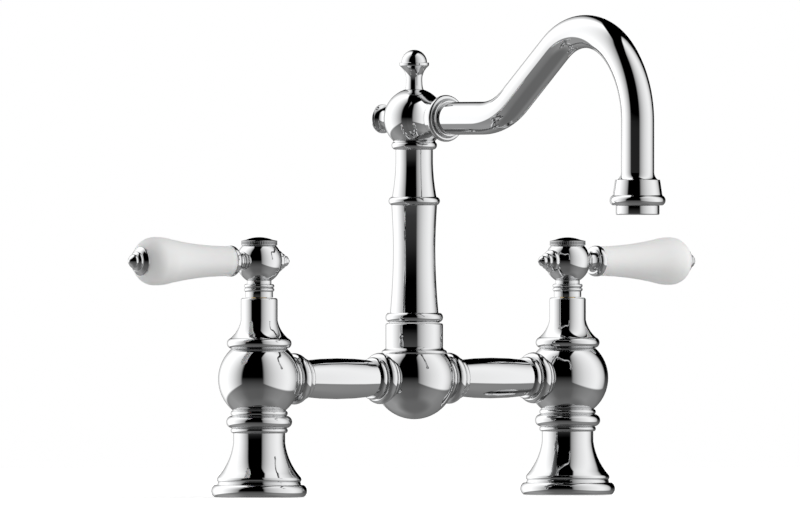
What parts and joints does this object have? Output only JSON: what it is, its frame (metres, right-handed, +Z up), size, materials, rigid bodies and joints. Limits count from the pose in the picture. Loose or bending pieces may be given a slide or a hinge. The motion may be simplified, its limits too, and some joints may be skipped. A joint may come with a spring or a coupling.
{
  "type": "bridge kitchen faucet",
  "caption": "Bridge kitchen faucet with porcelain lever handles on turned feet, a beaded bridge, a slim swivelling column with a finial, and a swan-neck spout with a bell-shaped nozzle.",
  "frame": {"origin": "on the deck, midway between the two valve axes and under the column's axis", "axes": "+Z up out of the deck, +X from the left valve to the right one as the user sees them from the front, -Y towards the user along the spout"},
  "size_m": [0.3728, 0.2145, 0.2415],
  "materials": {
    "chrome": "polished plate",
    "porcelain": "satin glaze",
    "disc_ceramic": "lapped",
    "brass": "machined",
    "steel": "machined",
    "rubber": "matt",
    "plastic": "matt"
  },
  "bodies": {
    "base": {"right_foot": "chrome", "right_foot_gasket": "rubber", "right_neck_ring": "chrome", "right_valve_body": "chrome", "right_bonnet": "chrome", "right_cartridge": "brass", "right_fixed_disc": "disc_ceramic", "right_cartridge_seal": "rubber", "right_centre_collar": "chrome", "right_bridge_tube": "chrome", "right_valve_collar": "chrome", "left_foot": "chrome", "left_foot_gasket": "rubber", "left_neck_ring": "chrome", "left_valve_body": "chrome", "left_bonnet": "chrome", "left_cartridge": "brass", "left_fixed_disc": "disc_ceramic", "left_cartridge_seal": "rubber", "left_centre_collar": "chrome", "left_bridge_tube": "chrome", "left_valve_collar": "chrome", "centre_body": "chrome", "bridge_rings": "rubber"},
    "lever_left": {"left_turning_disc": "disc_ceramic", "left_spindle": "brass", "left_handle_screw": "steel", "left_hub": "chrome", "left_hub_cap": "chrome", "left_ferrule": "chrome", "left_lever_rod": "steel", "left_grip": "porcelain", "left_end_finial": "chrome", "left_rear_finial": "chrome"},
    "lever_right": {"right_turning_disc": "disc_ceramic", "right_spindle": "brass", "right_handle_screw": "steel", "right_hub": "chrome", "right_hub_cap": "chrome", "right_ferrule": "chrome", "right_lever_rod": "steel", "right_grip": "porcelain", "right_end_finial": "chrome", "right_rear_finial": "chrome"},
    "spout": {"column": "chrome", "swivel_rings": "rubber", "retaining_clip": "plastic", "top_ball": "chrome", "top_finial": "chrome", "rear_plug": "chrome", "spout_collar": "chrome", "spout_tube": "chrome", "nozzle": "chrome", "aerator_shell": "chrome", "aerator_insert": "plastic", "aerator_washer": "rubber"}
  },
  "joints": [
    {"name": "spout_swivel", "type": "hinge", "parent": "base", "child": "spout", "pos_m": [0, 0, 0.0876], "axis": [0, 0, 1], "continuous": true},
    {"name": "lever_left_turn", "type": "hinge", "parent": "base", "child": "lever_left", "pos_m": [-0.1016, 0, 0.1], "axis": [0, 0, 1], "range_deg": [0, 90]},
    {"name": "lever_right_turn", "type": "hinge", "parent": "base", "child": "lever_right", "pos_m": [0.1016, 0, 0.1], "axis": [0, 0, 1], "range_deg": [-90, 0]}
  ]
}
